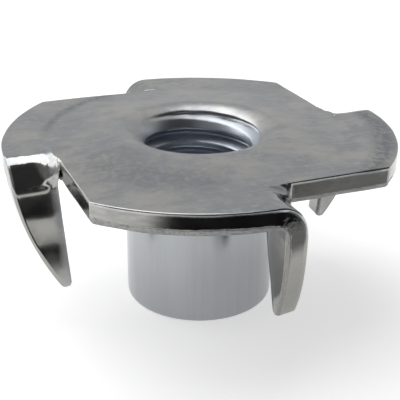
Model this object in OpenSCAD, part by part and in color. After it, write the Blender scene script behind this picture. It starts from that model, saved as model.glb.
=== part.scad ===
// Four-prong tee nut with an M6 thread, pressed and drawn from one round blank of sheet steel.
// The barrel stands on its foot. The screw axis is Z, and the origin lies on it at the foot.
// Each prong is a piece of the flange's rim, freed by one slit and folded down beside it.
// The first prong hangs at +X, and the slit that freed it runs from its root towards +Y.

/* [Flange] */
// Diameter of the round flange
flange_d = 19; // [17.5:0.25:22]
// Thickness of the sheet
sheet_t = 1; // [0.8:0.05:1.1]
// Height of the flange's upper face above the foot, at the rim
height = 8.55; // [8:0.05:14]
// Rise of the flange's middle above its rim
crown_h = 0.3; // [0.05:0.05:0.4]
// Distance from the crown's edge to the straight side of each slit
crown_margin = 0.3; // [0.1:0.05:0.6]

/* [Barrel] */
// Outside diameter of the barrel
barrel_d = 7.4; // [6.8:0.1:8.6]
// Diameter of the bore, which is the minor diameter of the thread
bore_d = 5; // [4.2:0.1:5.4]
// Radius of the drawn mouth, where the flange turns down into the bore
mouth_r = 1.5; // [0.8:0.05:1.6]
// Radius of the fillet between the barrel and the flange's lower face
neck_r = 0.4; // [0.2:0.05:0.6]
// Radius of the foot's outer edge
foot_r = 0.25; // [0.1:0.05:0.4]
// Depth of the 45 degree lead at the foot of the bore
foot_lead = 0.2; // [0.1:0.05:0.3]

/* [Edges] */
// Radius rolled onto the upper edge of the rim as the blank is cut out
roll_r = 0.08; // [0.05:0.01:0.15]
// Width of the bevel that tears along the lower edges of the sheet
tear_w = 0.12; // [0.08:0.01:0.19]
// Height of the torn bevel
tear_h = 0.3; // [0.1:0.01:0.35]

/* [Slits] */
// Number of prongs, and of the slits that free them
prong_count = 4; // [3:1:6]
// Distance from the screw axis to the straight side of each slit
slit_offset = 7.27; // [6.6:0.01:7.5]
// Distance from the prong's radial line to the root of its slit
slit_root = 1.25; // [1.2:0.05:1.8]
// Width of the slit
slit_w = 0.1; // [0.1:0.01:0.3]
// Radius in the corner of the slit's root
root_r = 0.08; // [0.05:0.01:0.09]
// Width of the web that ties the fold to the root of the slit
web_w = 0.6; // [0.4:0.05:1]
// Height of the web's torn lower edge above the flange's lower face
web_rise = 0.1; // [0.05:0.05:0.2]

/* [Prongs] */
// Depth of the prong's tip below the flange's upper face
prong_depth = 6.35; // [4.5:0.05:7.5]
// Angle that the prong is folded through, a few degrees short of square
fold_angle = 83.5; // [78:0.5:89]
// Inside radius of the fold
fold_r = 0.32; // [0.2:0.01:0.5]
// Distance from the prong's radial line back to the start of its fold
fold_start = 0.36; // [0.1:0.02:0.6]
// Angle that the prong's straight edge leans towards the barrel
edge_lean = 2.5; // [0:0.5:4]
// Radius of the prong's long curved edge
edge_r = 12; // [9:0.5:14]
// Radius of the prong's tip
tip_r = 0.27; // [0.2:0.01:0.35]

/* [Hidden] */
$fn = 96;
// How far a cutting shape runs past the metal that it cuts
past = 1;
// Step in the rim at each end of the fold, too small to see or feel
rim_step = 0.01;

flange_r = flange_d / 2;
barrel_r = barrel_d / 2;
bore_r = bore_d / 2;
underside = height - sheet_t;

// The crown runs from the flat rim up to the mouth, and its underside down from the neck
crown_r = slit_offset - crown_margin;
crown_top = height + crown_h;
crown_underside = underside + crown_h;
mouth_outer_r = bore_r + mouth_r;
neck_outer_r = barrel_r + neck_r;

// The fold's axis runs parallel to X, through this point of the prong's side view
fold_outer_r = fold_r + sheet_t;
fold_y = -fold_start;
fold_z = height - fold_outer_r;

// Plan of the flat leg: x from the screw axis, y down the leg from the end of the fold
straight_x = slit_offset + slit_w;
fold_rim_x = sqrt(flange_r * flange_r - fold_start * fold_start) - rim_step;
leg_l = (prong_depth - fold_outer_r + fold_r * cos(fold_angle)) / sin(fold_angle);
lean_dir = [-sin(edge_lean), cos(edge_lean)];
lean_normal = [cos(edge_lean), sin(edge_lean)];
// The tip's circle ends the leg, and stands just proud of both edges so that it crosses them
tip_in = 0.99 * tip_r;
tip_run = (leg_l - tip_r - tip_in * lean_normal.y) / lean_dir.y;
tip_c = [straight_x, 0] + tip_in * lean_normal + tip_run * lean_dir;
// The curved edge leaves the rim at the end of the fold and runs into the tip's circle
rim_p = [fold_rim_x - rim_step, 0];
chord = norm(rim_p - tip_c);
chord_dir = (rim_p - tip_c) / chord;
inner_r = edge_r - tip_in;
along = (chord * chord + inner_r * inner_r - edge_r * edge_r) / (2 * chord);
aside = sqrt(inner_r * inner_r - along * along);
edge_c = tip_c + along * chord_dir + aside * [chord_dir.y, -chord_dir.x];

module each_prong() {
    for (i = [0:prong_count - 1])
        rotate(i * 360 / prong_count)
            children();
}

// Section of the sheet from x = 0 out to an edge at x = r, between the heights low and high
module edge_section(r, low, high) {
    difference() {
        union() {
            translate([0, low])
                square([r, high - low - roll_r]);
            translate([0, low])
                square([r - roll_r, high - low]);
            translate([r - roll_r, high - roll_r])
                circle(roll_r);
        }
        tear_section(r, low);
    }
}

// What tears away along the lower edge of a sheet that ends at x = r
module tear_section(r, low) {
    polygon([
        [r - tear_w, low],
        [r, low + tear_h],
        [r + past, low + tear_h],
        [r + past, low - past],
        [r - tear_w, low - past]
    ]);
}

// Half section of flange and barrel, to the right of the screw axis
module wall_section() {
    difference() {
        union() {
            rim_section();
            crown_section();
            translate([0, foot_r])
                square([barrel_r, crown_underside - foot_r]);
            square([barrel_r - foot_r, height / 2]);
            translate([barrel_r - foot_r, foot_r])
                circle(foot_r);
            neck_section();
        }
        bore_section();
    }
}

// The flat rim of the flange, outside the crown
module rim_section() {
    difference() {
        edge_section(flange_r, underside, height);
        translate([0, underside - past])
            square([crown_r, sheet_t + 2 * past]);
    }
}

// The low crown, of the same sheet, which rises from the flat rim to the mouth
module crown_section() {
    polygon([
        [0, crown_underside],
        [neck_outer_r, crown_underside],
        [crown_r, underside],
        [crown_r, height],
        [mouth_outer_r, crown_top],
        [0, crown_top]
    ]);
}

// Fillet between the barrel and the crown's lower face
module neck_section() {
    difference() {
        translate([barrel_r - neck_r, crown_underside - neck_r])
            square([2 * neck_r, neck_r + sheet_t / 2]);
        translate([neck_outer_r, crown_underside - neck_r])
            circle(neck_r);
    }
}

// Everything inside the bore, its drawn mouth and the lead at its foot
module bore_section() {
    translate([-past, -past])
        square([bore_r + past, crown_top + 2 * past]);
    difference() {
        translate([0, crown_top - mouth_r])
            square([mouth_outer_r, mouth_r + past]);
        translate([mouth_outer_r, crown_top - mouth_r])
            circle(mouth_r);
    }
    polygon([[0, -past], [bore_r + foot_lead + past, -past], [bore_r, foot_lead], [0, foot_lead]]);
}

// The part of the rim that the slit frees and the fold takes down
module window_plan() {
    translate([slit_offset + root_r, slit_root])
        square([flange_r, flange_r]);
    translate([slit_offset, slit_root + root_r])
        square([flange_r, flange_r]);
    translate([slit_offset + root_r, slit_root + root_r])
        circle(root_r);
    translate([straight_x, -fold_start])
        square([flange_r, flange_r]);
}

module flange_and_barrel() {
    difference() {
        rotate_extrude()
            wall_section();
        each_prong() {
            translate([0, 0, underside - sheet_t])
                linear_extrude(3 * sheet_t)
                    window_plan();
            slit_tear();
            web_tear();
        }
    }
}

// Bevel torn along the lower edge of the slit's straight side, from the root to the rim
module slit_tear() {
    translate([0, flange_r + past, 0])
        rotate([90, 0, 0])
            linear_extrude(flange_r + past - slit_root - root_r)
                tear_section(slit_offset, underside);
}

// Step under the web, between the flange and the prong
module web_tear() {
    translate([slit_offset, -fold_start, underside - past])
        cube([slit_w + past, slit_root + root_r + fold_start, past + web_rise]);
}

// The fold: a ring about the fold's axis, cut to the sector that the prong turns through
module fold() {
    intersection() {
        rotate([90, 0, 90])
            rotate_extrude()
                mirror([1, -1])
                    intersection() {
                        edge_section(fold_rim_x, fold_r, fold_outer_r);
                        translate([straight_x, 0])
                            square([flange_r, 2 * fold_outer_r]);
                    }
        cube([flange_r + past, 2 * fold_outer_r, 2 * fold_outer_r]);
        rotate([-fold_angle, 0, 0])
            translate([0, -2 * fold_outer_r, -2 * fold_outer_r])
                cube([flange_r + past, 2 * fold_outer_r, 4 * fold_outer_r]);
    }
}

// The flat leg, drawn as it lies before it turns with the fold
module leg() {
    difference() {
        intersection() {
            translate(edge_c)
                rotate_extrude()
                    edge_section(edge_r, fold_r, fold_outer_r);
            linear_extrude(2 * fold_outer_r)
                polygon([
                    [straight_x, 0],
                    [straight_x, 0] + 2 * leg_l * lean_dir,
                    [flange_r + past, 2 * leg_l],
                    [flange_r + past, 0]
                ]);
        }
        tip_cut();
    }
}

// What lies beyond the tip's circle, between its touching points with the two edges
module tip_cut() {
    out_dir = (tip_c - edge_c) / inner_r;
    difference() {
        linear_extrude(2 * fold_outer_r)
            polygon([
                tip_c,
                tip_c - leg_l * lean_normal,
                tip_c + leg_l * (lean_dir - lean_normal),
                tip_c + leg_l * (lean_dir + out_dir),
                tip_c + leg_l * out_dir
            ]);
        translate(tip_c)
            rotate_extrude()
                edge_section(tip_r, fold_r, fold_outer_r);
    }
}

module prong() {
    translate([0, fold_y, fold_z]) {
        fold();
        rotate([-fold_angle, 0, 0])
            leg();
    }
}

// Metal dragged out beside the root of the slit, a cone that dies into the fold
module web() {
    intersection() {
        translate([straight_x, slit_root - sheet_t, underside])
            rotate([0, 90, 0])
                cylinder(h = web_w, r1 = sheet_t, r2 = sheet_t / 2);
        translate([straight_x, fold_y, underside + web_rise])
            cube([web_w, slit_root - fold_y, sheet_t]);
    }
}

module tee_nut() {
    color([0.72, 0.73, 0.74]) {
        flange_and_barrel();
        each_prong() {
            prong();
            web();
        }
    }
}

tee_nut();
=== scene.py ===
# Four-prong tee nut: one closed mesh of the stamped sheet, the drawn barrel and its M6 thread.
# Sizes are in millimetres up to the point where a mesh is written, which is in metres.
# The origin lies on the screw axis at the foot. The first prong hangs at +X.
import math

import bmesh
import bpy
import numpy as np
from mathutils import Matrix, Vector, noise
from mathutils.geometry import delaunay_2d_cdt


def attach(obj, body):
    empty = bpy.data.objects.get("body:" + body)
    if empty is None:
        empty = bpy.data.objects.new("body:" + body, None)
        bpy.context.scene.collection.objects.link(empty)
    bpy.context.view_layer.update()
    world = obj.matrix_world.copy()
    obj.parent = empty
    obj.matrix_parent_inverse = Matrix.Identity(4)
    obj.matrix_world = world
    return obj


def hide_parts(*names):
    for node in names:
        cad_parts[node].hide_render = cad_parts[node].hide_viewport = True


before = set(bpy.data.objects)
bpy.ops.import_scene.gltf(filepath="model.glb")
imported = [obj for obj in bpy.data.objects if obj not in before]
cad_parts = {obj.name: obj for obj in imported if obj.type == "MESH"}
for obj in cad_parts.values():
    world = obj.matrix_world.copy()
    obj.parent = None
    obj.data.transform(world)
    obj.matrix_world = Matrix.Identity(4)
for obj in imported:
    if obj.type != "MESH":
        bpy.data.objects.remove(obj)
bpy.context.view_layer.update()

MM = 0.001
scene = bpy.context.scene

# ------------------------------------------------ sizes of the part
# the flange, with the low crown that lifts its middle
FLANGE_R = 9.5
SHEET_T = 1.0
HEIGHT = 8.55
CROWN_H = 0.3
CROWN_R = 6.97
CROWN_SOFT = 0.25

# the drawn barrel, with its mouth, its neck under the flange and its foot
BARREL_R = 3.7
BORE_R = 2.5
MOUTH_R = 1.5
NECK_R = 0.4
FOOT_R = 0.25
FOOT_LEAD = 0.2

# the thread: the turn it starts at, half its groove and one flank in shares of the pitch, and
# how far and between what heights the groove deepens as it runs out into the mouth
THREAD_R = 3.0
THREAD_PITCH = 1.0
THREAD_START = 0.218
GROOVE_HALF = 0.375
GROOVE_FLANK = 0.3125
THREAD_FLARE = 0.17
FLARE_LOW = 7.8
FLARE_HIGH = 8.4

# the slits, and the web of dragged metal beside the root of each
PRONGS = 4
SLIT_OFFSET = 7.27
SLIT_ROOT = 1.25
SLIT_W = 0.1
WEB_W = 0.6
WEB_RISE = 0.1
WEB_BLEND = 0.2
# share of its radius that the web loses across its width
WEB_NARROW = 0.5
# how far past its width the web has died out, and over what run
WEB_PAST = 0.3
WEB_FADE = 0.4
# how far before its torn edge the web begins to die out, and over what run
TORN_LEAD = 0.1
TORN_FADE = 0.3
# run below the slit's root over which the sheet lies even again
WEB_SETTLE = 1.75

# the prongs: folds, and legs that end in a rounded tip
PRONG_DEPTH = 6.35
FOLD_ANGLE = math.radians(83.5)
FOLD_R = 0.32
FOLD_START = 0.36
EDGE_LEAN = math.radians(2.5)
EDGE_R = 12
TIP_R = 0.27
# how far the rim steps in along the fold
RIM_STEP = 0.02

# the edges: rolled above, torn below
ROLL_R = 0.08
PRONG_ROLL_R = 0.17
TEAR_W = 0.12
TEAR_H = 0.24
# share by which each of them wanders, the size of the wandering, and its seed
ROLL_WANDERS = ((0.5, 1.3, 3),)
TEAR_W_WANDERS = ((0.4, 1.5, 7),)
TEAR_H_WANDERS = ((0.35, 1.7, 11), (0.12, 0.37, 12), (0.08, 0.16, 13))
# crumbs in the torn face: height, size, seed of the first row and step to the next row's
CRUMBS = (0.02, 0.24, 20, 0.7)
# shares of its height and width that the torn edge loses on the legs, and keeps on the slits
LEG_TEAR_H_LOSS = 0.62
LEG_TEAR_W_LOSS = 0.4
SLIT_TEAR_H = 0.55
# how far before the fold the torn edge begins to change, how far in from a prong's straight
# side the roll does, and the run that both changes take
TEAR_CHANGE_LEAD = 0.6
ROLL_CHANGE_IN = 0.15
EDGE_CHANGE_RUN = 1.2
# how far off an edge's line its own points may lie
BESIDE = 0.01

# ------------------------------------------------ what pressing did to this nut, and darker arcs on its flange
# lobes sprung up at the rim, by angle, spread and height, and a factor on all of them
SPRUNG = ((math.radians(117), math.radians(20), 0.10), (math.radians(27), math.radians(16), 0.06),
          (math.radians(-6), math.radians(16), 0.07))
SPRUNG_GAIN = 1.1
# length of each leg against the full one, from the prong at +X round to the one at -Y
LEG_SHARE = (0.955, 1.0, 1.0, 1.0)
# about how far each leg's straight side and curved side flare out at the tip
FLARES = ((0.05, 0.0), (-0.05, 0.05), (0.25, 0.26), (0.1, 0.07))
# where the flare starts down the leg, about how far on the tip is, and the width it takes to
# change from one side to the other
FLARE_FROM = 2.2
FLARE_RUN = 3.65
FLARE_WIDTH = 1.6
# slope at which the lower part of each leg turns back in, and where that starts
TUCKS = (0.0, 0.0, 0.033, 0.0)
TUCK_FROM = 3.7
# run over which a slope begins softly
RAMP_SOFT = 0.3
# how far each leg stands out from its fold down, the share of it on the straight side, and
# where that starts and how soon it is full
BOWS = (0.03, 0.03, 0.11, 0.05)
BOW_STRAIGHT_SIDE = 0.8
BOW_FROM = 0.4
BOW_RUN = 0.85
# dent or swell in each prong: place outwards and down the sheet, size both ways, height
DENTS = ((8.4, 3.0, 0.6, 0.8, 0.02), (8.2, 2.4, 0.7, 0.9, -0.02),
         (8.7, 0.86, 0.07, 0.07, 0.006), (8.3, 2.6, 0.8, 1.0, -0.02))
# darker arcs laid into the flange's colour along parts of rings: radius, spread, darkness and direction
FLANGE_DARK_ARCS = ((7.55, 0.4, 0.75, math.radians(126)), (8.9, 0.9, 1.0, math.radians(-27)),
               (6.2, 2.6, 0.5, math.radians(-136)))
# cosine of the turn from its direction at which an arc begins, and at which it is full
DARK_ARC_RANGE = (0.74, 0.95)

# ------------------------------------------------ how finely the mesh is laid out
EDGE_STEP = 0.1
TIP_STEP = 0.05
SLIT_POINTS = 8
# points of the leg that lie this near to the slit's end give way to it
SLIT_CLEAR = 0.03
# rows along the outline: round the roll, down the sheared face and down the torn face
ROLL_ROWS = 5
SHEAR_ROWS = 6
TEAR_ROWS = 6
EDGE_BAND = 0.23
# least cosine of half the turn at a corner, which limits how far its rows are drawn in
SHARPEST = 0.6
# points in the wide parts of the flange: spacing, least gap to the border, first ring's gap to
# the barrel's ring, and how far they keep off a prong inwards, back and along it
WIDE_STEP = 0.25
WIDE_GAP = 0.1
FIRST_GAP = 0.15
PRONG_CLEAR = (0.3, 0.2, 6)
# points on the fold, the leg and the web, in a prong's own frame: x from, to and step,
# y from, to and step, and least gap to the border
FINE_FILLS = (((7.5, 9.4, 0.1), (-0.5, 1.3, 0.06), 0.04),
              ((7.5, 9.4, 0.16), (1.35, 6, 0.16), 0.07),
              ((7.0, 7.47, 0.03), (-0.5, 1.1, 0.06), 0.025))
# ring where the sheet's mesh meets the drawn barrel's, and the rings from there inwards
RING_R = 4.6
RING_COUNT = 192
MOUTH_RINGS = (RING_R, 4.4, 4.2, 4.05)
NECK_RINGS = (RING_R, 4.4, 4.2)
# rows round the mouth, neck and foot, down the barrel and up the threaded wall, and its top
ROUND_ROWS = 8
BARREL_ROWS = 30
WALL_ROWS = 174
WALL_TOP = 8.72
# millimetres within which two lengths are the same, two points of the plan are one, and a
# triangle's middle counts as outside the ring, and metres within which the mesh is merged
SAME = 1e-6
PLAN_MERGE = 1e-7
RING_SLACK = 1e-4
MERGE = 2e-7

# ------------------------------------------------ masks and zinc
# value of the edge mask on each kind of row, and where it turns to sheared and to torn
SKIN, ROLL, SHEAR, TEAR = 0.0, 0.25, 0.5, 1.0
SHEAR_RANGE = (0.3, 0.45)
TEAR_RANGE = (0.6, 0.9)
# polish on the prongs: how far before the fold it begins, its run, and its loss down the leg
POLISH_LEAD = 0.3
POLISH_RUN = 0.5
POLISH_LOSS = 0.4
# where the leg's own finish begins, and its run
LEG_FROM = 0.6
LEG_RUN = 0.6
# polish in the drawn mouth: how much, out to what radius, and its runs outwards and upwards
MOUTH_POLISH = (0.15, 3.9, 0.5, 0.4)
# ironed skin: how far past the neck it ends, its run there, how far above the crown's
# underside it ends, and its run there
IRONED = (0.1, 0.3, 0.05, 0.1)
# how deep below the wall's top the bore's own finish, its roughness and its painted lighter colour,
# is full, the radius at which it ends, and its run there
BORE_FINISH = (0.8, 3.3, 0.2)
# radius at which the duller mouth begins, and at which it is full
MOUTH_RANGE = (4.3, 3.4)

# scale and detail of each noise, and its roughness if that isn't the usual one
NOISES = {"cloud": (260, 4), "bloom": (900, 3), "grain": (3800, 1), "crumbs": (6000, 2, 0.6),
          "peel": (1700, 2), "beads": (4600, 1), "mottle": (2400, 2), "pits": (3300, 1),
          "lumps": (500, 2)}
# scale along X, Y and Z of each noise that makes lines, and the detail of all of them
LINE_NOISES = {"drag": (1500, 1500, 5200), "drawn": (2600, 2600, 90), "rolled": (500, 5200, 500)}
LINE_DETAIL = 2
# colours laid one over another on the plain zinc: noise, its range, share of the colour at
# both ends of the range, where it lies, and the colour
PLAIN_ZINC = (0.40, 0.415, 0.43)
ZINC_LAYERS = (("cloud", 0.35, 0.65, 0, 1, "flat", (0.54, 0.53, 0.505)),
               ("bloom", 0.42, 0.68, 0, 0.7, "flat", (0.35, 0.365, 0.39)),
               ("mottle", 0.5, 0.75, 0, 0.5, "flat", (0.57, 0.575, 0.58)),
               ("rolled", 0.45, 0.75, 0, 0.35, "flat", (0.56, 0.56, 0.56)),
               ("grain", 0.38, 0.58, 0.45, 1, "arc_darkened", (0.23, 0.24, 0.26)),
               ("drag", 0.3, 0.7, 0.55, 0.95, "sheared", (0.29, 0.285, 0.268)),
               ("crumbs", 0.35, 0.7, 0.5, 0.95, "torn", (0.24, 0.24, 0.235)),
               ("drawn", 0.4, 0.75, 0.1, 0.5, "ironed", (0.35, 0.355, 0.36)),
               ("pits", 0.77, 0.81, 0, 1, "bare", (0.13, 0.115, 0.11)))
# colour painted on the legs as shade, darker than the plain zinc, and how much of it lies on them,
# and colour of the bore, bluish and painted lighter than the plain zinc as light in the bore
LEG_SHADED_ZINC = (0.32, 0.315, 0.295)
LEG_SHADE = 0.8
BORE_LIT_ZINC = (0.52, 0.56, 0.62)
# roughness of the plain skin, and what each noise or place adds to it or takes away
PLAIN_ROUGH = 0.22
ROUGH = {"cloud": 0.02, "bloom": 0.04, "fold": -0.13, "sheared": -0.11, "bore": 0.16,
         "torn": 0.22, "mouth": 0.13}
# ranges of the two noises over which they do so
CLOUD_RANGE = (0.3, 0.7)
BLOOM_RANGE = (0.4, 0.7)
# height of the relief that each noise gives, in millimetres, and of the peel in some places
RELIEF = {"lumps": 0.006, "grain": 0.0008, "rolled": 0.0009, "drag": 0.0012, "crumbs": 0.03,
          "peel": 0.001, "peel in mouth": 0.006, "peel on bend": 0.009, "beads on bend": 0.003}
# share of the fine relief left on a polished fold, and on a sheared face
FINE_ON_FOLD = 0.2
FINE_ON_SHEAR = 0.3
# where the fold mask turns to polished, and where to fully bent
POLISHED_RANGE = (0.0, 0.6)
BENT_RANGE = (0.6, 1.0)

# where the camera stands, in a frame turned with the view, and how it looks at the nut
VIEW_TURN = math.radians(-22.27)
CAMERA_AT = (0.0, -40.77, 23.14)
LOOK_DOWN = math.radians(24.076)
LOOK_YAW = math.radians(-0.048)
LOOK_ROLL = math.radians(0.396)
LENS = 79.64

# the floor, which runs out of sight, and the greys of the surroundings
FLOOR_SIZE = 4000
FLOOR_GLOW = 0.54
FRONT_RIGHT_GREY = 0.04
FRONT_LEFT_GREY = 0.2
BACK_GREY = 0.54
LEFT_GREY = 0.4

UNDERSIDE = HEIGHT - SHEET_T
CROWN_TOP = HEIGHT + CROWN_H
MOUTH_OUTER_R = BORE_R + MOUTH_R
MOUTH_Z = CROWN_TOP - MOUTH_R
NECK_OUTER_R = BARREL_R + NECK_R
STRAIGHT_X = SLIT_OFFSET + SLIT_W
FOLD_OUTER_R = FOLD_R + SHEET_T
FOLD_MID_R = FOLD_R + SHEET_T / 2
FOLD_Z = HEIGHT - FOLD_OUTER_R
BEND_LENGTH = FOLD_MID_R * FOLD_ANGLE
RIM_X = math.sqrt(FLANGE_R ** 2 - FOLD_START ** 2)
LEG_LENGTH = (PRONG_DEPTH - FOLD_OUTER_R + FOLD_R * math.cos(FOLD_ANGLE)) / math.sin(FOLD_ANGLE)

# lengths that the threaded wall's node tree is given
WALL_SIZES = {"Bore Radius": BORE_R, "Thread Radius": THREAD_R, "Pitch": THREAD_PITCH,
              "Wall Top": WALL_TOP, "Mouth Height": MOUTH_Z, "Mouth Radius": MOUTH_R,
              "Foot Lead": FOOT_LEAD, "Foot Radius": BARREL_R - FOOT_R, "Flare": THREAD_FLARE,
              "Flare Low": FLARE_LOW, "Flare High": FLARE_HIGH}


def soft_maximum(first, second, blend):
    """The larger of two values, rounded off over the blend where they cross."""
    return (first + second + np.sqrt((first - second) ** 2 + blend ** 2)) / 2


def smoothstep(value):
    t = np.clip(value, 0.0, 1.0)
    return t * t * (3 - 2 * t)


def wander(points, size, seed):
    """Smooth random values, from about -1 to 1, that change over the plan within the size given."""
    return np.array([noise.noise(Vector((x / size, y / size, seed))) for x, y in points])


# ------------------------------------------------ outline of the flat blank
# A prong's own frame has x outwards along its radial line and y round the disc. Beyond the
# fold, y is measured along the middle of the sheet, so the prong lies flat beside its slit.

def steps(length, step=EDGE_STEP):
    return max(2, math.ceil(length / step))


def line(a, b):
    n = steps(math.dist(a, b))
    return [(a[0] + (b[0] - a[0]) * i / n, a[1] + (b[1] - a[1]) * i / n) for i in range(n)]


def arc(centre, radius, start, end, step=EDGE_STEP, least=2):
    n = max(least, steps(abs(end - start) * radius, step))
    turns = [start + (end - start) * i / n for i in range(n)]
    return [(centre[0] + radius * math.cos(a), centre[1] + radius * math.sin(a)) for a in turns]


def leg_outline():
    """Curved edge, tip and straight edge of the flat leg, from the end of the fold and back."""
    lean = np.array([-math.sin(EDGE_LEAN), math.cos(EDGE_LEAN)])
    across = np.array([math.cos(EDGE_LEAN), math.sin(EDGE_LEAN)])
    run = (LEG_LENGTH - TIP_R - TIP_R * across[1]) / lean[1]
    tip = np.array([STRAIGHT_X, 0.0]) + TIP_R * across + run * lean
    rim = np.array([RIM_X - RIM_STEP, 0.0])
    chord = np.linalg.norm(rim - tip)
    way = (rim - tip) / chord
    inner = EDGE_R - TIP_R
    along = (chord ** 2 + inner ** 2 - EDGE_R ** 2) / (2 * chord)
    aside = math.sqrt(inner ** 2 - along ** 2)
    centre = tip + along * way + aside * np.array([way[1], -way[0]])
    to_rim = math.atan2(*(rim - centre)[::-1])
    to_tip = math.atan2(*(tip - centre)[::-1])
    points = arc(centre, EDGE_R, to_rim, to_tip)
    points += arc(tip, TIP_R, to_tip, math.pi + EDGE_LEAN, TIP_STEP)
    points += line(tuple(tip - TIP_R * across), (STRAIGHT_X, 0.0))
    drift = math.tan(EDGE_LEAN)
    return [(x + drift * y, y + BEND_LENGTH - FOLD_START) for x, y in points]


def quarter_outline():
    """One prong and the lobe that follows it, with the metal on the left."""
    slit_mid = (SLIT_OFFSET + SLIT_W / 2, SLIT_ROOT + SLIT_W / 2)
    corner_y = math.sqrt(FLANGE_R ** 2 - SLIT_OFFSET ** 2)
    prong = line((RIM_X, -FOLD_START), (RIM_X - RIM_STEP, BEND_LENGTH - FOLD_START))
    prong += leg_outline()
    slit_end = slit_mid[1] + SLIT_CLEAR
    prong = [(x, y) for x, y in prong if abs(x - STRAIGHT_X) > SAME or y > slit_end]
    slit = arc(slit_mid, SLIT_W / 2, 0.0, -math.pi, least=SLIT_POINTS)
    lobe = line((SLIT_OFFSET, slit_mid[1]), (SLIT_OFFSET, corner_y))
    lobe += arc((0.0, 0.0), FLANGE_R, math.atan2(corner_y, SLIT_OFFSET),
                math.pi / 2 - math.asin(FOLD_START / FLANGE_R))
    return prong + slit + lobe


def circle(radius, count):
    """Points spread evenly round the screw axis."""
    a = np.arange(count) * 2 * math.pi / count
    return radius * np.stack([np.cos(a), np.sin(a)], axis=1)


def turned(points, quarter):
    c, s = math.cos(quarter * 2 * math.pi / PRONGS), math.sin(quarter * 2 * math.pi / PRONGS)
    points = np.asarray(points, float)
    return points @ np.array([[c, s], [-s, c]])


def blank_outline():
    return np.concatenate([turned(quarter_outline(), k) for k in range(PRONGS)])


def inward(points):
    """For each point of the closed outline, the way into the metal, longer at a sharp corner."""
    ahead = np.roll(points, -1, axis=0) - points
    ahead /= np.linalg.norm(ahead, axis=1, keepdims=True)
    normal = np.stack([-ahead[:, 1], ahead[:, 0]], axis=1)
    both = normal + np.roll(normal, 1, axis=0)
    both /= np.linalg.norm(both, axis=1, keepdims=True)
    cosine = np.maximum(SHARPEST, (both * normal).sum(axis=1, keepdims=True))
    return both / cosine


# ------------------------------------------------ where the metal goes
def crown_rise(radius, inner):
    """Height that the low crown adds at a radius, softened where it meets the flat rim."""
    slope = CROWN_H / (CROWN_R - inner)
    reach = CROWN_R - radius
    return slope * (reach + np.sqrt(reach ** 2 + CROWN_SOFT ** 2)) / 2


def flat_place(x, y, h):
    """Place of metal in the flange: h is its height in the sheet's thickness."""
    r = np.hypot(x, y)
    share = h / SHEET_T
    inner = NECK_OUTER_R + (MOUTH_OUTER_R - NECK_OUTER_R) * share
    return x, y, UNDERSIDE + h + crown_rise(r, inner)


def web_radius(direction_y, direction_z, radius):
    """Distance from the fold's axis to the web's round surface, in one direction."""
    cy = SLIT_ROOT - SHEET_T + FOLD_START
    cz = UNDERSIDE - FOLD_Z
    near = direction_y * cy + direction_z * cz
    square = near ** 2 - cy ** 2 - cz ** 2 + radius ** 2
    return np.where(square > 0, near + np.sqrt(np.maximum(square, 0)), 0)


def web_profile(y):
    """Angle about the fold's axis at which the skin beside the flange reaches y."""
    fold = np.sqrt(np.maximum(FOLD_OUTER_R ** 2 - (y + FOLD_START) ** 2, 0)) + FOLD_Z
    web = np.sqrt(np.maximum(SHEET_T ** 2 - (y - SLIT_ROOT + SHEET_T) ** 2, 0)) + UNDERSIDE
    return np.arctan2(y + FOLD_START, soft_maximum(fold, web, WEB_BLEND) - FOLD_Z)


def soft_ramp(run):
    """Zero up to the start of a run, and then a straight rise that begins softly."""
    run = np.maximum(run, 0)
    return run ** 2 / (run + RAMP_SOFT)


def dents(k, x, y):
    """How far prong k is out of its true form, along the way its outer skin faces."""
    straight, curved = FLARES[k]
    at, down, wide, long, height = DENTS[k]
    across = np.clip((x - STRAIGHT_X) / FLARE_WIDTH, 0, 1)
    flare = (straight + (curved - straight) * across) / FLARE_RUN * soft_ramp(y - FLARE_FROM)
    tuck = TUCKS[k] * soft_ramp(y - TUCK_FROM)
    side = BOW_STRAIGHT_SIDE + (1 - BOW_STRAIGHT_SIDE) * across
    bow = BOWS[k] * side * smoothstep((y - BOW_FROM) / BOW_RUN)
    dent = height * np.exp(-(((x - at) / wide) ** 2 + ((y - down) / long) ** 2) / 2)
    return flare - tuck + bow + dent


def prong_place(k, x, y, h):
    """Place of metal in the fold or the leg of a prong, and in the web beside its slit's root."""
    flat_run = y + FOLD_START
    at_root = FOLD_MID_R * web_profile(np.clip(y, -FOLD_START, SLIT_ROOT))
    lag = SLIT_ROOT + FOLD_START - FOLD_MID_R * web_profile(np.array(SLIT_ROOT))
    settling = 1 - smoothstep((y - SLIT_ROOT) / WEB_SETTLE)
    web_run = np.where(y < SLIT_ROOT, at_root, flat_run - lag * settling)
    web = smoothstep(1 - (x - STRAIGHT_X) / WEB_W)
    run = flat_run + (web_run - flat_run) * web
    turn = np.minimum(run / FOLD_MID_R, FOLD_ANGLE)
    leg = np.maximum(run - BEND_LENGTH, 0) * LEG_SHARE[k]
    sy, cz = np.sin(turn), np.cos(turn)
    cone = SHEET_T * (1 - WEB_NARROW * np.clip((x - STRAIGHT_X) / WEB_W, 0, 1))
    bulge = soft_maximum(web_radius(sy, cz, cone) - FOLD_OUTER_R, 0, WEB_BLEND)
    torn = FOLD_MID_R * math.atan2(SLIT_ROOT + FOLD_START, UNDERSIDE + WEB_RISE - FOLD_Z)
    bulge *= (1 - smoothstep((run - torn + TORN_LEAD) / TORN_FADE)) * (h / SHEET_T) ** 2
    bulge *= smoothstep((STRAIGHT_X + WEB_W + WEB_PAST - x) / WEB_FADE)
    radius = FOLD_R + h + bulge + dents(k, x, y)
    return (x - math.tan(EDGE_LEAN) * leg,
            -FOLD_START + radius * sy + leg * math.cos(FOLD_ANGLE),
            FOLD_Z + radius * cz - leg * math.sin(FOLD_ANGLE))


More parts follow.
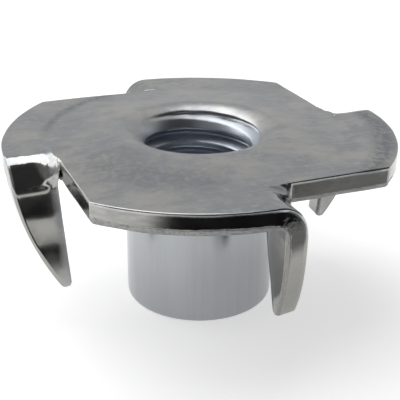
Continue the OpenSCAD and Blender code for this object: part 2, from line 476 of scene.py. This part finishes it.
def place(points, h):
    """Maps points of the blank's plan, at height h in the sheet, to their place on the nut."""
    points = np.asarray(points, float)
    h = np.broadcast_to(np.asarray(h, float), len(points)).copy()
    result = np.stack(flat_place(points[:, 0], points[:, 1], h), axis=1)
    for k in range(PRONGS):
        own = turned(points, -k)
        on = (own[:, 0] > SLIT_OFFSET) & (own[:, 1] > -FOLD_START) & (own[:, 1] < FLANGE_R)
        if not on.any():
            continue
        x, y = own[on, 0], own[on, 1]
        bent = np.stack(prong_place(k, x, y, h[on]), axis=1)
        still = np.stack(flat_place(x, y, h[on]), axis=1)
        share = smoothstep((x - SLIT_OFFSET) / SLIT_W)[:, None]
        local = still + (bent - still) * share
        result[on, :2] = turned(local[:, :2], k)
        result[on, 2] = local[:, 2]
    result[:, 2] += spring(result[:, 0], result[:, 1])
    return result


def spring(x, y):
    """Height that the lobes and prongs have sprung up by, nothing at the crown's inner part."""
    r, a = np.hypot(x, y), np.arctan2(y, x)
    rise = np.zeros(len(x))
    for angle, spread, height in SPRUNG:
        off = np.angle(np.exp(1j * (a - angle)))
        rise += height * np.exp(-(off / spread) ** 2 / 2)
    return rise * smoothstep((r - RING_R) / (FLANGE_R - RING_R)) * SPRUNG_GAIN


# ------------------------------------------------ the sheet's mesh
def varied(size, outline, wanders):
    """A size that wanders along the outline."""
    result = 1
    for share, spread, seed in wanders:
        result = result + share * wander(outline, spread, seed)
    return size * result


def roll_width(outline):
    """Radius rolled onto the upper edge, which is wider along the prongs."""
    roll = varied(ROLL_R, outline, ROLL_WANDERS)
    for k in range(PRONGS):
        x, y = turned(outline, -k).T
        on = (x > STRAIGHT_X + ROLL_CHANGE_IN) & (y > -FOLD_START) & (y < FLANGE_R)
        share = smoothstep((y + FOLD_START) / EDGE_CHANGE_RUN)
        roll = np.where(on, roll + (PRONG_ROLL_R - roll) * share, roll)
    return roll


def tear_size(outline):
    """Width and height torn off the lower edge, less along the prongs and the slits."""
    tear_w = varied(TEAR_W, outline, TEAR_W_WANDERS)
    tear_h = varied(TEAR_H, outline, TEAR_H_WANDERS)
    for k in range(PRONGS):
        x, y = turned(outline, -k).T
        near = (x > SLIT_OFFSET - BESIDE) & (y > -FOLD_START - TEAR_CHANGE_LEAD) & (y < FLANGE_R)
        on_leg = near & (x > SLIT_OFFSET + SLIT_W / 2)
        on_slit = near & ~on_leg
        share = smoothstep((y + FOLD_START + TEAR_CHANGE_LEAD) / EDGE_CHANGE_RUN)
        tear_h = np.where(on_leg, tear_h * (1 - LEG_TEAR_H_LOSS * share), tear_h)
        tear_w = np.where(on_leg, tear_w * (1 - LEG_TEAR_W_LOSS * share), tear_w)
        tear_h = np.where(on_slit, tear_h * SLIT_TEAR_H, tear_h)
    return tear_w, tear_h


def edge_rows(outline):
    """Inward distance, height in the sheet and edge mask of each row along the outline."""
    roll = roll_width(outline)
    tear_w, tear_h = tear_size(outline)
    flat = np.zeros(len(outline))
    rows = [(flat + EDGE_BAND, flat + SHEET_T, SKIN), ((EDGE_BAND + roll) / 2, flat + SHEET_T, SKIN)]
    for i in range(ROLL_ROWS + 1):
        a = math.pi / 2 * i / ROLL_ROWS
        rows.append((roll * (1 - math.sin(a)), SHEET_T - roll * (1 - math.cos(a)), ROLL))
    wall = SHEET_T - roll - tear_h
    for i in range(1, SHEAR_ROWS):
        rows.append((flat, SHEET_T - roll - wall * i / SHEAR_ROWS, SHEAR))
    height, size, seed, seed_step = CRUMBS
    for i in range(TEAR_ROWS + 1):
        a = i / TEAR_ROWS
        crumbs = height * wander(outline, size, seed + seed_step * i)
        rows.append((tear_w * a + crumbs * (0 < i < TEAR_ROWS), tear_h * (1 - a), TEAR))
    rows.append((flat + EDGE_BAND, flat, SKIN))
    return rows


def inside(points, outline):
    """Which points lie inside the closed outline."""
    x, y = points.T
    result = np.zeros(len(points), bool)
    ax, ay = outline.T
    bx, by = np.roll(ax, -1), np.roll(ay, -1)
    for i in range(len(outline)):
        crosses = (ay[i] > y) != (by[i] > y)
        if crosses.any():
            at = ax[i] + (y - ay[i]) / (by[i] - ay[i]) * (bx[i] - ax[i])
            result ^= crosses & (x < at)
    return result


def grid_points(span_x, span_y, shift=0):
    """Points in rows over a rectangle, with every second row shifted sideways."""
    x, y = np.meshgrid(np.arange(*span_x), np.arange(*span_y))
    x = x + (np.arange(len(x)) % 2)[:, None] * shift
    return np.stack([x.ravel(), y.ravel()], axis=1)


def filling(border):
    """Points laid out inside the border: rings round the crown, and finer rows over the folds."""
    groups = []
    for r in np.arange(RING_R + FIRST_GAP, CROWN_R - WIDE_GAP, WIDE_STEP):
        groups.append((circle(r, round(2 * math.pi * r / WIDE_STEP)), WIDE_GAP))
    across = (-FLANGE_R, FLANGE_R, WIDE_STEP)
    wide = grid_points(across, across, WIDE_STEP / 2)
    wide = wide[np.hypot(*wide.T) > CROWN_R - WIDE_GAP]
    inwards, back, along = PRONG_CLEAR
    for k in range(PRONGS):
        x, y = turned(wide, -k).T
        wide = wide[~((x > STRAIGHT_X - inwards) & (y > -FOLD_START - back) & (y < along))]
    groups.append((wide, WIDE_GAP))
    for k in range(PRONGS):
        for span_x, span_y, gap in FINE_FILLS:
            groups.append((turned(grid_points(span_x, span_y), k), gap))
    kept = []
    ends = np.roll(border, -1, axis=0)
    for points, gap in groups:
        points = points[inside(points, border)]
        far = np.full(len(points), np.inf)
        for a, b in zip(border, ends):
            way = b - a
            t = np.clip(((points - a) @ way) / (way @ way), 0, 1)
            far = np.minimum(far, np.hypot(*(points - a - t[:, None] * way).T))
        kept.append(points[far > gap])
    return np.concatenate(kept)


def sheet_mesh():
    """The flange and its prongs, open only at the two rings where the drawn barrel takes over."""
    outline = blank_outline()
    way = inward(outline)
    rows = edge_rows(outline)
    count = len(outline)
    points, masks, folds = [], [], []
    for d, h, mask in rows:
        points.append(place(outline + way * d[:, None], h))
        folds.append(sheet_masks(outline + way * d[:, None]))
        masks.append(np.full(count, mask))
    faces = []
    for j in range(len(rows) - 1):
        for i in range(count):
            n = (i + 1) % count
            faces.append((j * count + i, (j + 1) * count + i, (j + 1) * count + n, j * count + n))
    border = outline + way * EDGE_BAND
    flat = np.concatenate([border, circle(RING_R, RING_COUNT), filling(border)])
    edges = [(i, (i + 1) % count) for i in range(count)]
    edges += [(count + i, count + (i + 1) % RING_COUNT) for i in range(RING_COUNT)]
    made = delaunay_2d_cdt([Vector(p) for p in flat], edges, [], 1, PLAN_MERGE)
    cap = np.array([tuple(v) for v in made[0]])
    first = [o[0] if o else -1 for o in made[3]]
    triangles = []
    for face in made[2]:
        centre = cap[list(face)].mean(axis=0)
        if np.hypot(*centre) > RING_R * math.cos(math.pi / RING_COUNT) - RING_SLACK:
            triangles.append(face)
    so_far = len(rows) * count
    for side, h in ((0, SHEET_T), (len(rows) - 1, 0.0)):
        index, fresh = {}, []
        for i, o in enumerate(first):
            if 0 <= o < count:
                index[i] = side * count + o
            else:
                index[i] = so_far + len(fresh)
                fresh.append(cap[i])
        points.append(place(fresh, h))
        masks.append(np.zeros(len(fresh)))
        folds.append(sheet_masks(np.array(fresh)))
        so_far += len(fresh)
        for face in triangles:
            order = face if side == 0 else tuple(reversed(face))
            faces.append(tuple(index[i] for i in order))
    return np.concatenate(points), faces, np.concatenate(masks), np.concatenate(folds)


def sheet_masks(points):
    """How much the tool has polished the skin, most on the folds, and how much of it is leg."""
    result = np.zeros((len(points), 2))
    for k in range(PRONGS):
        x, y = turned(points, -k).T
        on = (x > SLIT_OFFSET + SLIT_W / 2) & (y < FLANGE_R)
        rise = smoothstep((y + FOLD_START + POLISH_LEAD) / POLISH_RUN)
        down = smoothstep((y - LEG_FROM) / LEG_RUN)
        web = smoothstep((x - STRAIGHT_X) / WEB_W)
        both = np.stack([rise * web * (1 - POLISH_LOSS * down), down * web], axis=1)
        result = np.where(on[:, None], np.maximum(result, both), result)
    return result


# ------------------------------------------------ the drawn barrel
def crown_rows(radii, base, inner):
    """Radius and height of rings on a face of the crown whose rim lies at the base height."""
    return [(r, base + float(crown_rise(np.array(r), inner))) for r in radii]


def mouth_rows():
    """Radius and height from the crown down into the mouth, to where the thread takes over."""
    rows = crown_rows(MOUTH_RINGS, HEIGHT, MOUTH_OUTER_R)
    last = math.acos((WALL_TOP - MOUTH_Z) / MOUTH_R)
    for i in range(1, ROUND_ROWS + 1):
        a = last * i / ROUND_ROWS
        rows.append((MOUTH_OUTER_R - MOUTH_R * math.sin(a), MOUTH_Z + MOUTH_R * math.cos(a)))
    return rows


def barrel_rows():
    """Radius and height from the flange's underside down the neck and barrel to the foot."""
    rows = crown_rows(NECK_RINGS, UNDERSIDE, NECK_OUTER_R)
    quarter = [math.pi / 2 * i / ROUND_ROWS for i in range(ROUND_ROWS + 1)]
    under = UNDERSIDE + CROWN_H
    rows += [(NECK_OUTER_R - NECK_R * math.sin(a), under - NECK_R * (1 - math.cos(a))) for a in quarter]
    top = under - NECK_R
    rows += [(BARREL_R, top + (FOOT_R - top) * i / BARREL_ROWS) for i in range(1, BARREL_ROWS)]
    rows += [(BARREL_R - FOOT_R * (1 - math.cos(a)), FOOT_R * (1 - math.sin(a))) for a in quarter]
    return rows


def revolved(rows):
    """One ring of points for each row, and the faces between the rings."""
    rings = [np.column_stack([circle(r, RING_COUNT), np.full(RING_COUNT, z)]) for r, z in rows]
    faces = []
    for j in range(len(rows) - 1):
        for i in range(RING_COUNT):
            n = (i + 1) % RING_COUNT
            at, below = j * RING_COUNT, (j + 1) * RING_COUNT
            faces.append((at + i, at + n, below + n, below + i))
    return np.concatenate(rings), faces


# ------------------------------------------------ the threaded wall
def put(tree, kind, **settings):
    node = tree.nodes.new(kind)
    for name, value in settings.items():
        setattr(node, name, value)
    return node


def feed(tree, socket, value):
    if isinstance(value, bpy.types.NodeSocket):
        tree.links.new(value, socket)
    else:
        socket.default_value = value


def calc(tree, operation, *values, clamp=False):
    node = put(tree, "ShaderNodeMath", operation=operation, use_clamp=clamp)
    for socket, value in zip(node.inputs, values):
        feed(tree, socket, value)
    return node.outputs[0]


def total(tree, first, *others):
    for value in others:
        first = calc(tree, "ADD", first, value)
    return first


def product(tree, first, *others):
    for value in others:
        first = calc(tree, "MULTIPLY", first, value)
    return first


def less(tree, first, second):
    return calc(tree, "SUBTRACT", first, second)


def apart(tree, first, second):
    return calc(tree, "ABSOLUTE", less(tree, first, second))


def split(tree, vector):
    """X, Y and Z of a vector."""
    node = put(tree, "ShaderNodeSeparateXYZ")
    feed(tree, node.inputs[0], vector)
    return tuple(node.outputs)


def between(tree, value, low, high, to_low=0.0, to_high=1.0):
    """A smooth change from one value at low to another at high."""
    node = put(tree, "ShaderNodeMapRange", interpolation_type="SMOOTHSTEP")
    for socket, given in zip(node.inputs[:5], (value, low, high, to_low, to_high)):
        feed(tree, socket, given)
    return node.outputs[0]


def thread_tree():
    """Node tree that makes the bore's wall, from a flat ring at the foot up into the mouth."""
    tree = bpy.data.node_groups.new("threaded_wall", "GeometryNodeTree")
    face = tree.interface
    face.new_socket("Geometry", in_out="OUTPUT", socket_type="NodeSocketGeometry")
    kinds = {"Segments": "Int", "Rows": "Int", "Start Turn": "Float", "Material": "Material"}
    kinds.update(dict.fromkeys(WALL_SIZES, "Float"))
    sockets = {}
    for name, kind in kinds.items():
        socket = face.new_socket(name, in_out="INPUT", socket_type="NodeSocket" + kind)
        sockets[name] = socket.identifier
    given = put(tree, "NodeGroupInput").outputs
    bore_r, mouth_r = given["Bore Radius"], given["Mouth Radius"]

    # a grid of 1 by 1 about its own middle: X becomes the turn about the screw axis, and Y the
    # height, with one row more at the foot
    grid = put(tree, "GeometryNodeMeshGrid")
    grid.inputs["Size X"].default_value = 1
    grid.inputs["Size Y"].default_value = 1
    feed(tree, grid.inputs["Vertices X"], total(tree, given["Segments"], 1))
    feed(tree, grid.inputs["Vertices Y"], total(tree, given["Rows"], 2))
    x, y, _ = split(tree, put(tree, "GeometryNodeInputPosition").outputs[0])
    turn = total(tree, x, 0.5)
    angle = product(tree, turn, 2 * math.pi)
    row = less(tree, product(tree, total(tree, y, 0.5), total(tree, given["Rows"], 1)), 1)
    raw = calc(tree, "DIVIDE", product(tree, row, given["Wall Top"]), given["Rows"])
    height = calc(tree, "MAXIMUM", raw, 0)

    # groove: a truncated thread whose crest is a quarter of the pitch wide, which the tap has
    # cut a little deeper as it broke through into the mouth
    turns_up = calc(tree, "DIVIDE", height, given["Pitch"])
    phase = calc(tree, "FRACT", total(tree, less(tree, turns_up, turn), given["Start Turn"]))
    off = apart(tree, phase, 0.5)
    depth = calc(tree, "DIVIDE", less(tree, GROOVE_HALF, off), GROOVE_FLANK, clamp=True)
    flare = between(tree, height, given["Flare Low"], given["Flare High"], 0, given["Flare"])
    full = total(tree, flare, less(tree, given["Thread Radius"], bore_r))
    cut = total(tree, bore_r, product(tree, depth, full))

    # the wall before the tap: the drawn mouth above, and the lead at the foot
    above = calc(tree, "MAXIMUM", less(tree, height, given["Mouth Height"]), 0)
    squares = less(tree, product(tree, mouth_r, mouth_r), product(tree, above, above))
    mouth = less(tree, total(tree, bore_r, mouth_r), calc(tree, "SQRT", squares))
    lead = total(tree, bore_r, calc(tree, "MAXIMUM", less(tree, given["Foot Lead"], height), 0))
    wall = calc(tree, "MAXIMUM", cut, calc(tree, "MAXIMUM", mouth, lead))
    at_foot = calc(tree, "LESS_THAN", row, -0.5)
    radius = total(tree, wall, product(tree, at_foot, less(tree, given["Foot Radius"], wall)))

    where = put(tree, "ShaderNodeCombineXYZ")
    feed(tree, where.inputs["X"], product(tree, radius, calc(tree, "COSINE", angle)))
    feed(tree, where.inputs["Y"], product(tree, radius, calc(tree, "SINE", angle)))
    feed(tree, where.inputs["Z"], height)
    move = put(tree, "GeometryNodeSetPosition")
    feed(tree, move.inputs["Geometry"], grid.outputs["Mesh"])
    feed(tree, move.inputs["Position"], where.outputs[0])
    close = put(tree, "GeometryNodeMergeByDistance")
    feed(tree, close.inputs["Geometry"], move.outputs[0])
    close.inputs["Distance"].default_value = MERGE
    real = put(tree, "GeometryNodeRealizeInstances")
    feed(tree, real.inputs[0], close.outputs[0])
    paint = put(tree, "GeometryNodeSetMaterial")
    feed(tree, paint.inputs["Geometry"], real.outputs[0])
    feed(tree, paint.inputs["Material"], given["Material"])
    feed(tree, put(tree, "NodeGroupOutput").inputs[0], paint.outputs[0])
    return tree, sockets


def threaded_wall(material):
    """The bore's wall as a plain mesh, open only at its two end rings."""
    tree, sockets = thread_tree()
    carrier = bpy.data.objects.new("threaded_wall", bpy.data.meshes.new("carrier"))
    scene.collection.objects.link(carrier)
    modifier = carrier.modifiers.new("thread", "NODES")
    modifier.node_group = tree
    values = {name: size * MM for name, size in WALL_SIZES.items()}
    values.update({"Segments": RING_COUNT, "Rows": WALL_ROWS, "Start Turn": THREAD_START,
                   "Material": material})
    for name, value in values.items():
        modifier[sockets[name]] = value
    bpy.context.view_layer.update()
    evaluated = carrier.evaluated_get(bpy.context.evaluated_depsgraph_get())
    made = bpy.data.meshes.new_from_object(evaluated)
    bpy.data.objects.remove(carrier)
    return made


# ------------------------------------------------ the finish
def noise_node(tree, vector, scale, detail, roughness=0.55):
    node = put(tree, "ShaderNodeTexNoise")
    feed(tree, node.inputs["Vector"], vector)
    node.inputs["Scale"].default_value = scale
    node.inputs["Detail"].default_value = detail
    node.inputs["Roughness"].default_value = roughness
    return node.outputs["Fac"]


# the Mix node's sockets for colours, whose names its other kinds share
MIX_FIRST, MIX_SECOND, MIX_RESULT = 6, 7, 2


def blend_colours(tree, share, first, second):
    node = put(tree, "ShaderNodeMix", data_type="RGBA")
    feed(tree, node.inputs[0], share)
    feed(tree, node.inputs[MIX_FIRST], first)
    feed(tree, node.inputs[MIX_SECOND], (*second, 1))
    return node.outputs[MIX_RESULT]


def attribute(tree, name):
    return put(tree, "ShaderNodeAttribute", attribute_name=name).outputs["Fac"]


def stretched(tree, vector, scale):
    node = put(tree, "ShaderNodeMapping")
    feed(tree, node.inputs["Vector"], vector)
    node.inputs["Scale"].default_value = scale
    return node.outputs[0]


def flange_dark_arcs(tree, x, y, radius):
    """How much darker the flange's colour is made, along a part of each ring in the list."""
    darkening = 0
    for at, spread, dark, angle in FLANGE_DARK_ARCS:
        off = apart(tree, radius, at * MM)
        ring = product(tree, between(tree, off, spread * MM, 0), dark)
        towards = total(tree, product(tree, x, math.cos(angle)), product(tree, y, math.sin(angle)))
        here = between(tree, calc(tree, "DIVIDE", towards, radius), *DARK_ARC_RANGE)
        darkening = total(tree, darkening, product(tree, ring, here))
    return darkening


def zinc_maps(tree):
    """The noises, masks and places that the zinc's tint, roughness and relief are made from."""
    spot = put(tree, "ShaderNodeTexCoord").outputs["Object"]
    maps = {name: noise_node(tree, spot, *settings) for name, settings in NOISES.items()}
    for name, scale in LINE_NOISES.items():
        maps[name] = noise_node(tree, stretched(tree, spot, scale), 1.0, LINE_DETAIL)
    for name in ("edge", "fold", "leg", "bore", "ironed"):
        maps[name] = attribute(tree, name)
    x, y, _ = split(tree, spot)
    radius = calc(tree, "SQRT", total(tree, product(tree, x, x), product(tree, y, y)))
    torn = between(tree, maps["edge"], *TEAR_RANGE)
    flat = less(tree, 1, maps["ironed"])
    inside_ring = between(tree, radius, *(r * MM for r in MOUTH_RANGE))
    maps["torn"] = torn
    maps["flat"] = flat
    maps["sheared"] = product(tree, between(tree, maps["edge"], *SHEAR_RANGE), less(tree, 1, torn))
    # darker arcs laid into the flange's colour, none on the barrel
    maps["arc_darkened"] = product(tree, flange_dark_arcs(tree, x, y, radius), flat)
    maps["bare"] = calc(tree, "MAXIMUM", maps["sheared"], maps["ironed"])
    maps["mouth"] = product(tree, inside_ring, flat, less(tree, 1, maps["bore"]))
    return maps


def zinc_tint(tree, maps):
    tint = (*PLAIN_ZINC, 1)
    for noise_name, low, high, least, most, where, colour in ZINC_LAYERS:
        share = product(tree, between(tree, maps[noise_name], low, high, least, most), maps[where])
        tint = blend_colours(tree, share, tint, colour)
    # painted shade: the legs take a darker copy of the zinc
    tint = blend_colours(tree, product(tree, maps["leg"], LEG_SHADE), tint, LEG_SHADED_ZINC)
    # painted light: the bore takes a lighter, bluish copy of the zinc
    return blend_colours(tree, maps["bore"], tint, BORE_LIT_ZINC)


def zinc_roughness(tree, maps):
    parts = dict(maps, cloud=between(tree, maps["cloud"], *CLOUD_RANGE, -1, 1),
                 bloom=between(tree, maps["bloom"], *BLOOM_RANGE),
                 fold=between(tree, maps["fold"], *POLISHED_RANGE))
    rough = PLAIN_ROUGH
    for name, gain in ROUGH.items():
        rough = total(tree, rough, product(tree, parts[name], gain))
    return rough


def zinc_relief(tree, maps):
    """Height of the fine relief, in millimetres."""
    bent = between(tree, maps["fold"], *BENT_RANGE)
    peel_h = total(tree, RELIEF["peel"], product(tree, maps["mouth"], RELIEF["peel in mouth"]),
                   product(tree, bent, RELIEF["peel on bend"]))
    beads = product(tree, maps["beads"], product(tree, bent, RELIEF["beads on bend"]))
    skin = total(tree, product(tree, maps["peel"], peel_h), beads)
    lumps, grain, rolled = (product(tree, maps[name], RELIEF[name]) for name in ("lumps", "grain", "rolled"))
    worn = product(tree, between(tree, maps["fold"], *POLISHED_RANGE, 1, FINE_ON_FOLD),
                   between(tree, maps["sheared"], 0, 1, 1, FINE_ON_SHEAR))
    fine = product(tree, total(tree, grain, rolled), worn)
    stripes = product(tree, maps["drag"], maps["sheared"], RELIEF["drag"])
    rubble = product(tree, maps["crumbs"], maps["torn"], RELIEF["crumbs"])
    return total(tree, lumps, total(tree, fine, skin), total(tree, stripes, rubble))


def zinc_plate():
    """Bright zinc on stamped steel: satin skin, polished folds, striped shear and a rough torn edge."""
    material = bpy.data.materials.new("zinc_plate")
    material.use_nodes = True
    tree = material.node_tree
    shader = tree.nodes["Principled BSDF"]
    shader.inputs["Metallic"].default_value = 1.0
    maps = zinc_maps(tree)
    tree.links.new(zinc_tint(tree, maps), shader.inputs["Base Color"])
    tree.links.new(zinc_roughness(tree, maps), shader.inputs["Roughness"])
    bump = put(tree, "ShaderNodeBump")
    bump.inputs["Strength"].default_value = 1.0
    bump.inputs["Distance"].default_value = MM
    feed(tree, bump.inputs["Height"], zinc_relief(tree, maps))
    tree.links.new(bump.outputs[0], shader.inputs["Normal"])
    return material


# ------------------------------------------------ the nut
def drawn_mask(points):
    """How much each point belongs to the drawn mouth, which the punch has polished."""
    r, z = np.hypot(*points.T[:2]), points[:, 2]
    most, out_to, run, rise = MOUTH_POLISH
    rounding = 1 - smoothstep((r - out_to) / run)
    return most * rounding * smoothstep((z - MOUTH_Z) / rise)


def ironed_mask(points):
    """How much each point belongs to the outside of the barrel, which the die has ironed."""
    r, z = np.hypot(*points.T[:2]), points[:, 2]
    past, run, above, rise = IRONED
    beside = smoothstep((NECK_OUTER_R + past - r) / run)
    return beside * smoothstep((UNDERSIDE + CROWN_H + above - z) / rise)


def bore_mask(points):
    """How much each point of the threaded wall lies inside the bore."""
    r, z = np.hypot(*points.T[:2]), points[:, 2]
    depth, out_to, run = BORE_FINISH
    return smoothstep((WALL_TOP - z) / depth) * smoothstep((out_to - r) / run)


def add_masks(mesh, masks):
    """Point attributes for the material, which are zero all over where no values are given."""
    for name, values in masks.items():
        if values is None:
            values = np.zeros(len(mesh.vertices))
        layer = mesh.attributes.new(name, "FLOAT", "POINT")
        layer.data.foreach_set("value", np.asarray(values, np.float32))


def tee_nut(material):
    """The whole nut as one closed mesh: the sheet and barrel, joined to the threaded wall."""
    points, faces, edge, masks = sheet_mesh()
    fold, leg = masks.T
    for rows in (mouth_rows(), barrel_rows()):
        ring_points, ring_faces = revolved(rows)
        start = len(points)
        none = np.zeros(len(ring_points))
        points = np.concatenate([points, ring_points])
        edge = np.concatenate([edge, none])
        fold = np.concatenate([fold, drawn_mask(ring_points)])
        leg = np.concatenate([leg, none])
        faces += [tuple(start + i for i in face) for face in ring_faces]
    sheet = bpy.data.meshes.new("tee_nut_body")
    sheet.from_pydata((points * MM).tolist(), [], faces)
    sheet.materials.append(material)
    add_masks(sheet, {"edge": edge, "fold": fold, "leg": leg, "bore": None, "ironed": ironed_mask(points)})
    wall = threaded_wall(material)
    spots = np.empty(3 * len(wall.vertices))
    wall.vertices.foreach_get("co", spots)
    spots = spots.reshape(-1, 3) / MM
    add_masks(wall, {"edge": None, "leg": None, "ironed": None, "fold": drawn_mask(spots),
                     "bore": bore_mask(spots)})
    body = bpy.data.objects.new("nut_body", sheet)
    bore = bpy.data.objects.new("nut_bore", wall)
    for piece in (body, bore):
        scene.collection.objects.link(piece)
    with bpy.context.temp_override(active_object=body, object=body, selected_editable_objects=[body, bore],
                                   selected_objects=[body, bore]):
        bpy.ops.object.join()
    metal = bmesh.new()
    metal.from_mesh(body.data)
    bmesh.ops.remove_doubles(metal, verts=metal.verts, dist=MERGE)
    bmesh.ops.recalc_face_normals(metal, faces=metal.faces)
    metal.to_mesh(body.data)
    metal.free()
    body.data.polygons.foreach_set("use_smooth", [True] * len(body.data.polygons))
    body.data.update()
    return body


zinc = zinc_plate()
nut = tee_nut(zinc)
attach(nut, "root")
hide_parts("tee_nut")


# ------------------------------------------------ studio
def turned_back(tree, output):
    """A texture coordinate as seen in the frame that turns with the view."""
    node = put(tree, "ShaderNodeMapping")
    feed(tree, node.inputs["Vector"], put(tree, "ShaderNodeTexCoord").outputs[output])
    node.inputs["Rotation"].default_value = (0, 0, -VIEW_TURN)
    return node.outputs[0]


def plain_material(name, colour, roughness=0.8):
    material = bpy.data.materials.new(name)
    material.use_nodes = True
    shader = material.node_tree.nodes["Principled BSDF"]
    shader.inputs["Base Color"].default_value = (*colour, 1)
    shader.inputs["Roughness"].default_value = roughness
    return material


def pale_floor():
    """A white floor that keeps a light shadow, in the picture and in what the metal reflects."""
    material = plain_material("floor", (0.8, 0.8, 0.8))
    tree = material.node_tree
    shader = tree.nodes["Principled BSDF"]
    ray = put(tree, "ShaderNodeLightPath").outputs
    mirrored = calc(tree, "MAXIMUM", ray["Is Glossy Ray"], ray["Is Transmission Ray"])
    seen = calc(tree, "MAXIMUM", ray["Is Camera Ray"], mirrored)
    shader.inputs["Emission Color"].default_value = (1, 1, 1, 1)
    tree.links.new(product(tree, seen, FLOOR_GLOW), shader.inputs["Emission Strength"])
    return material


def card(name, centre, size, material, seen=True):
    """A flat card that lies level at a height and is turned with the view."""
    x, y, z = centre
    w, d = size[0] / 2, size[1] / 2
    corners = [(x - w, y - d, z), (x + w, y - d, z), (x + w, y + d, z), (x - w, y + d, z)]
    spin = Matrix.Rotation(VIEW_TURN, 3, "Z")
    mesh = bpy.data.meshes.new(name)
    mesh.from_pydata([spin @ Vector(c) * MM for c in corners], [], [(0, 1, 2, 3)])
    mesh.materials.append(material)
    piece = bpy.data.objects.new(name, mesh)
    piece.visible_camera = seen
    scene.collection.objects.link(piece)
    return piece


def softbox(name, direction, distance, size, radiance):
    """A rectangular lamp that faces the nut from a direction in the turned frame."""
    data = bpy.data.lights.new(name, "AREA")
    data.shape = "RECTANGLE"
    data.size, data.size_y = size[0] * MM, size[1] * MM
    data.energy = radiance * math.pi * data.size * data.size_y
    lamp = bpy.data.objects.new(name, data)
    scene.collection.objects.link(lamp)
    way = Matrix.Rotation(VIEW_TURN, 3, "Z") @ Vector(direction).normalized()
    lamp.location = (Vector((0, 0, HEIGHT / 2)) + way * distance) * MM
    lamp.rotation_euler = (-way).to_track_quat("-Z", "Y").to_euler()


def soft_dark(name, centre, reach, fade, strength):
    """Black velvet that fades out to nothing round a rectangle on the floor."""
    material = plain_material(name, colour=(0.02, 0.02, 0.022), roughness=1.0)
    tree = material.node_tree
    shader = tree.nodes["Principled BSDF"]
    shader.inputs["Specular IOR Level"].default_value = 0.0
    cover = strength
    for along, middle, half, soft in zip(split(tree, turned_back(tree, "Object")), centre, reach, fade):
        off = apart(tree, along, middle * MM)
        cover = product(tree, cover, between(tree, off, half * MM, (half - soft) * MM))
    tree.links.new(cover, shader.inputs["Alpha"])
    return material


def dark_card(name, centre, reach, fade, height, strength=1.0):
    """A dark card just above the floor, outside the picture, which only the metal reflects."""
    material = soft_dark(name, centre, reach, fade, strength)
    piece = card(name, (*centre, height), (2 * reach[0], 2 * reach[1]), material, seen=False)
    piece.visible_shadow = False
    piece.visible_diffuse = False


def studio_world():
    """Soft grey surroundings, darkest in front on the right and brightest behind the nut."""
    world = bpy.data.worlds.new("studio")
    scene.world = world
    world.use_nodes = True
    tree = world.node_tree
    x, y, _ = split(tree, turned_back(tree, "Generated"))
    front = between(tree, x, 0.3, -0.1, FRONT_RIGHT_GREY, FRONT_LEFT_GREY)
    front_and_back = between(tree, y, -0.1, 0.6, front, BACK_GREY)
    level = calc(tree, "MAXIMUM", front_and_back, between(tree, x, -0.45, -0.85, 0.0, LEFT_GREY))
    colour = put(tree, "ShaderNodeCombineColor")
    for socket in colour.inputs[:3]:
        feed(tree, socket, level)
    feed(tree, tree.nodes["Background"].inputs["Color"], colour.outputs[0])


def camera():
    data = bpy.data.cameras.new("camera")
    data.sensor_width = 36
    data.lens = LENS
    data.clip_start, data.clip_end = 0.001, 10
    piece = bpy.data.objects.new("camera", data)
    scene.collection.objects.link(piece)
    place_turn = Matrix.Rotation(VIEW_TURN, 4, "Z")
    place_at = Matrix.Translation(place_turn @ (Vector(CAMERA_AT) * MM))
    look = Matrix.Rotation(VIEW_TURN + LOOK_YAW, 4, "Z") @ Matrix.Rotation(math.pi / 2 - LOOK_DOWN, 4, "X")
    piece.matrix_world = place_at @ look @ Matrix.Rotation(LOOK_ROLL, 4, "Z")
    scene.camera = piece


card("floor", centre=(0, 0, 0), size=(FLOOR_SIZE, FLOOR_SIZE), material=pale_floor())
dark_card("front_card", centre=(6, -29.5), reach=(19, 12.5), fade=(8, 2), height=0.02)
dark_card("right_card", centre=(17, -17.5), reach=(13.5, 7.5), fade=(3, 2), height=0.04, strength=0.7)
softbox("top_softbox", direction=(-0.2, 0.16, 1), distance=220, size=(200, 150), radiance=1.85)
softbox("left_softbox", direction=(-0.78, 0.25, 0.6), distance=240, size=(240, 215), radiance=1.5)
studio_world()
camera()

scene.view_settings.view_transform = "Standard"
